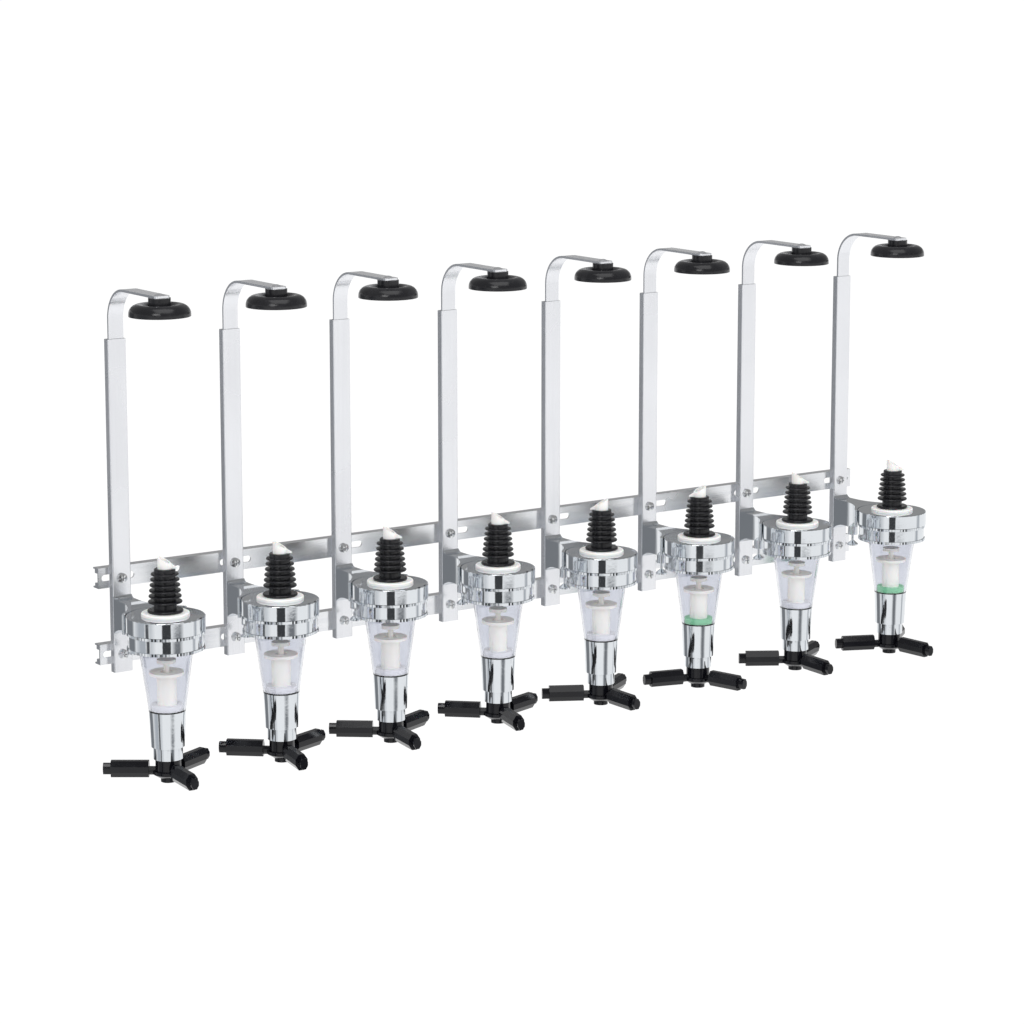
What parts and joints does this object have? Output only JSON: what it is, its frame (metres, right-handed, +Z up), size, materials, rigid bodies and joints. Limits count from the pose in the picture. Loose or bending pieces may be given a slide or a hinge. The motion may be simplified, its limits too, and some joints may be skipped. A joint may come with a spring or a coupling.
{
  "type": "liquor optic dispenser",
  "caption": "Wall rack of upturned-bottle spirit measures with clear chambers, plated barrels, push levers and sprung bottle arms.",
  "frame": {"origin": "middle of the upper rail's top flange, on its wall edge", "axes": "+Z up, +X along the rack to the right as seen from the front, +Y into the wall"},
  "size_m": [0.8624, 0.1427, 0.3963],
  "materials": {
    "bright_metal": "bright",
    "anodised": "satin",
    "zinc_screws": "bright",
    "chrome_plate": "polished",
    "spring_steel": "plain",
    "dark_plastic": "matte",
    "black_plastic": "gloss",
    "black_rubber": "satin",
    "white_plastic": "satin",
    "cream_plastic": "satin",
    "green_rubber": "satin",
    "clear_plastic": "clear"
  },
  "bodies": {
    "rack": {"upper_rail": "bright_metal", "lower_rail": "bright_metal", "columns": "anodised", "column_guides": "dark_plastic", "column_screws": "zinc_screws", "rail_nuts": "zinc_screws", "brackets": "chrome_plate", "bracket_screws": "zinc_screws", "measure_heads": "chrome_plate", "knurled_collars": "chrome_plate", "seal_discs": "white_plastic", "corks": "black_rubber", "spouts": "white_plastic", "chambers": "clear_plastic", "chamber_gaskets": "green_rubber", "valve_housings": "cream_plastic", "barrels": "chrome_plate", "valve_springs": "spring_steel", "pin_springs": "spring_steel", "arm_springs": "spring_steel"},
    "arm_1": {"bottle_arm_1": "anodised", "bottle_cup_1": "black_rubber"},
    "pin_1": {"lock_pin_1": "chrome_plate"},
    "valve_1": {"plunger_1": "cream_plastic"},
    "lever_body_1": {"lever_1": "black_plastic"},
    "arm_2": {"bottle_arm_2": "anodised", "bottle_cup_2": "black_rubber"},
    "pin_2": {"lock_pin_2": "chrome_plate"},
    "valve_2": {"plunger_2": "cream_plastic"},
    "lever_body_2": {"lever_2": "black_plastic"},
    "arm_3": {"bottle_arm_3": "anodised", "bottle_cup_3": "black_rubber"},
    "pin_3": {"lock_pin_3": "chrome_plate"},
    "valve_3": {"plunger_3": "cream_plastic"},
    "lever_body_3": {"lever_3": "black_plastic"},
    "arm_4": {"bottle_arm_4": "anodised", "bottle_cup_4": "black_rubber"},
    "pin_4": {"lock_pin_4": "chrome_plate"},
    "valve_4": {"plunger_4": "cream_plastic"},
    "lever_body_4": {"lever_4": "black_plastic"},
    "arm_5": {"bottle_arm_5": "anodised", "bottle_cup_5": "black_rubber"},
    "pin_5": {"lock_pin_5": "chrome_plate"},
    "valve_5": {"plunger_5": "cream_plastic"},
    "lever_body_5": {"lever_5": "black_plastic"},
    "arm_6": {"bottle_arm_6": "anodised", "bottle_cup_6": "black_rubber"},
    "pin_6": {"lock_pin_6": "chrome_plate"},
    "valve_6": {"plunger_6": "cream_plastic"},
    "lever_body_6": {"lever_6": "black_plastic"},
    "arm_7": {"bottle_arm_7": "anodised", "bottle_cup_7": "black_rubber"},
    "pin_7": {"lock_pin_7": "chrome_plate"},
    "valve_7": {"plunger_7": "cream_plastic"},
    "lever_body_7": {"lever_7": "black_plastic"},
    "arm_8": {"bottle_arm_8": "anodised", "bottle_cup_8": "black_rubber"},
    "pin_8": {"lock_pin_8": "chrome_plate"},
    "valve_8": {"plunger_8": "cream_plastic"},
    "lever_body_8": {"lever_8": "black_plastic"}
  },
  "joints": [
    {"name": "arm_slide_1", "type": "slide", "parent": "rack", "child": "arm_1", "axis": [0, 0, 1], "range_m": [0, 0.1], "stiffness_N_per_m": 12, "springref_m": -0.25, "deforming": ["arm_springs"]},
    {"name": "pin_pull_1", "type": "slide", "parent": "rack", "child": "pin_1", "axis": [0, 0, -1], "range_m": [0, 0.0045], "stiffness_N_per_m": 800, "springref_m": -0.004, "deforming": ["pin_springs"]},
    {"name": "valve_lift_1", "type": "slide", "parent": "rack", "child": "valve_1", "axis": [0, 0, 1], "range_m": [0, 0.0055], "stiffness_N_per_m": 800, "springref_m": -0.006, "deforming": ["valve_springs"]},
    {"name": "lever_spin_1", "type": "hinge", "parent": "valve_1", "child": "lever_body_1", "pos_m": [-0.3864, -0.09, -0.1519], "axis": [0, 0, 1], "continuous": true},
    {"name": "arm_slide_2", "type": "slide", "parent": "rack", "child": "arm_2", "axis": [0, 0, 1], "range_m": [0, 0.1], "stiffness_N_per_m": 12, "springref_m": -0.25, "deforming": ["arm_springs"]},
    {"name": "pin_pull_2", "type": "slide", "parent": "rack", "child": "pin_2", "axis": [0, 0, -1], "range_m": [0, 0.0045], "stiffness_N_per_m": 800, "springref_m": -0.004, "deforming": ["pin_springs"]},
    {"name": "valve_lift_2", "type": "slide", "parent": "rack", "child": "valve_2", "axis": [0, 0, 1], "range_m": [0, 0.0055], "stiffness_N_per_m": 800, "springref_m": -0.006, "deforming": ["valve_springs"]},
    {"name": "lever_spin_2", "type": "hinge", "parent": "valve_2", "child": "lever_body_2", "pos_m": [-0.28029, -0.09, -0.1519], "axis": [0, 0, 1], "continuous": true},
    {"name": "arm_slide_3", "type": "slide", "parent": "rack", "child": "arm_3", "axis": [0, 0, 1], "range_m": [0, 0.1], "stiffness_N_per_m": 12, "springref_m": -0.25, "deforming": ["arm_springs"]},
    {"name": "pin_pull_3", "type": "slide", "parent": "rack", "child": "pin_3", "axis": [0, 0, -1], "range_m": [0, 0.0045], "stiffness_N_per_m": 800, "springref_m": -0.004, "deforming": ["pin_springs"]},
    {"name": "valve_lift_3", "type": "slide", "parent": "rack", "child": "valve_3", "axis": [0, 0, 1], "range_m": [0, 0.0055], "stiffness_N_per_m": 800, "springref_m": -0.006, "deforming": ["valve_springs"]},
    {"name": "lever_spin_3", "type": "hinge", "parent": "valve_3", "child": "lever_body_3", "pos_m": [-0.17356, -0.09, -0.1519], "axis": [0, 0, 1], "continuous": true},
    {"name": "arm_slide_4", "type": "slide", "parent": "rack", "child": "arm_4", "axis": [0, 0, 1], "range_m": [0, 0.1], "stiffness_N_per_m": 12, "springref_m": -0.25, "deforming": ["arm_springs"]},
    {"name": "pin_pull_4", "type": "slide", "parent": "rack", "child": "pin_4", "axis": [0, 0, -1], "range_m": [0, 0.0045], "stiffness_N_per_m": 800, "springref_m": -0.004, "deforming": ["pin_springs"]},
    {"name": "valve_lift_4", "type": "slide", "parent": "rack", "child": "valve_4", "axis": [0, 0, 1], "range_m": [0, 0.0055], "stiffness_N_per_m": 800, "springref_m": -0.006, "deforming": ["valve_springs"]},
    {"name": "lever_spin_4", "type": "hinge", "parent": "valve_4", "child": "lever_body_4", "pos_m": [-0.06377, -0.09, -0.1519], "axis": [0, 0, 1], "continuous": true},
    {"name": "arm_slide_5", "type": "slide", "parent": "rack", "child": "arm_5", "axis": [0, 0, 1], "range_m": [0, 0.1], "stiffness_N_per_m": 12, "springref_m": -0.25, "deforming": ["arm_springs"]},
    {"name": "pin_pull_5", "type": "slide", "parent": "rack", "child": "pin_5", "axis": [0, 0, -1], "range_m": [0, 0.0045], "stiffness_N_per_m": 800, "springref_m": -0.004, "deforming": ["pin_springs"]},
    {"name": "valve_lift_5", "type": "slide", "parent": "rack", "child": "valve_5", "axis": [0, 0, 1], "range_m": [0, 0.0055], "stiffness_N_per_m": 800, "springref_m": -0.006, "deforming": ["valve_springs"]},
    {"name": "lever_spin_5", "type": "hinge", "parent": "valve_5", "child": "lever_body_5", "pos_m": [0.04662, -0.09, -0.1519], "axis": [0, 0, 1], "continuous": true},
    {"name": "arm_slide_6", "type": "slide", "parent": "rack", "child": "arm_6", "axis": [0, 0, 1], "range_m": [0, 0.1], "stiffness_N_per_m": 12, "springref_m": -0.25, "deforming": ["arm_springs"]},
    {"name": "pin_pull_6", "type": "slide", "parent": "rack", "child": "pin_6", "axis": [0, 0, -1], "range_m": [0, 0.0045], "stiffness_N_per_m": 800, "springref_m": -0.004, "deforming": ["pin_springs"]},
    {"name": "valve_lift_6", "type": "slide", "parent": "rack", "child": "valve_6", "axis": [0, 0, 1], "range_m": [0, 0.0055], "stiffness_N_per_m": 800, "springref_m": -0.006, "deforming": ["valve_springs"]},
    {"name": "lever_spin_6", "type": "hinge", "parent": "valve_6", "child": "lever_body_6", "pos_m": [0.1558, -0.09, -0.1519], "axis": [0, 0, 1], "continuous": true},
    {"name": "arm_slide_7", "type": "slide", "parent": "rack", "child": "arm_7", "axis": [0, 0, 1], "range_m": [0, 0.1], "stiffness_N_per_m": 12, "springref_m": -0.25, "deforming": ["arm_springs"]},
    {"name": "pin_pull_7", "type": "slide", "parent": "rack", "child": "pin_7", "axis": [0, 0, -1], "range_m": [0, 0.0045], "stiffness_N_per_m": 800, "springref_m": -0.004, "deforming": ["pin_springs"]},
    {"name": "valve_lift_7", "type": "slide", "parent": "rack", "child": "valve_7", "axis": [0, 0, 1], "range_m": [0, 0.0055], "stiffness_N_per_m": 800, "springref_m": -0.006, "deforming": ["valve_springs"]},
    {"name": "lever_spin_7", "type": "hinge", "parent": "valve_7", "child": "lever_body_7", "pos_m": [0.27049, -0.09, -0.1519], "axis": [0, 0, 1], "continuous": true},
    {"name": "arm_slide_8", "type": "slide", "parent": "rack", "child": "arm_8", "axis": [0, 0, 1], "range_m": [0, 0.1], "stiffness_N_per_m": 12, "springref_m": -0.25, "deforming": ["arm_springs"]},
    {"name": "pin_pull_8", "type": "slide", "parent": "rack", "child": "pin_8", "axis": [0, 0, -1], "range_m": [0, 0.0045], "stiffness_N_per_m": 800, "springref_m": -0.004, "deforming": ["pin_springs"]},
    {"name": "valve_lift_8", "type": "slide", "parent": "rack", "child": "valve_8", "axis": [0, 0, 1], "range_m": [0, 0.0055], "stiffness_N_per_m": 800, "springref_m": -0.006, "deforming": ["valve_springs"]},
    {"name": "lever_spin_8", "type": "hinge", "parent": "valve_8", "child": "lever_body_8", "pos_m": [0.3864, -0.09, -0.1519], "axis": [0, 0, 1], "continuous": true}
  ]
}
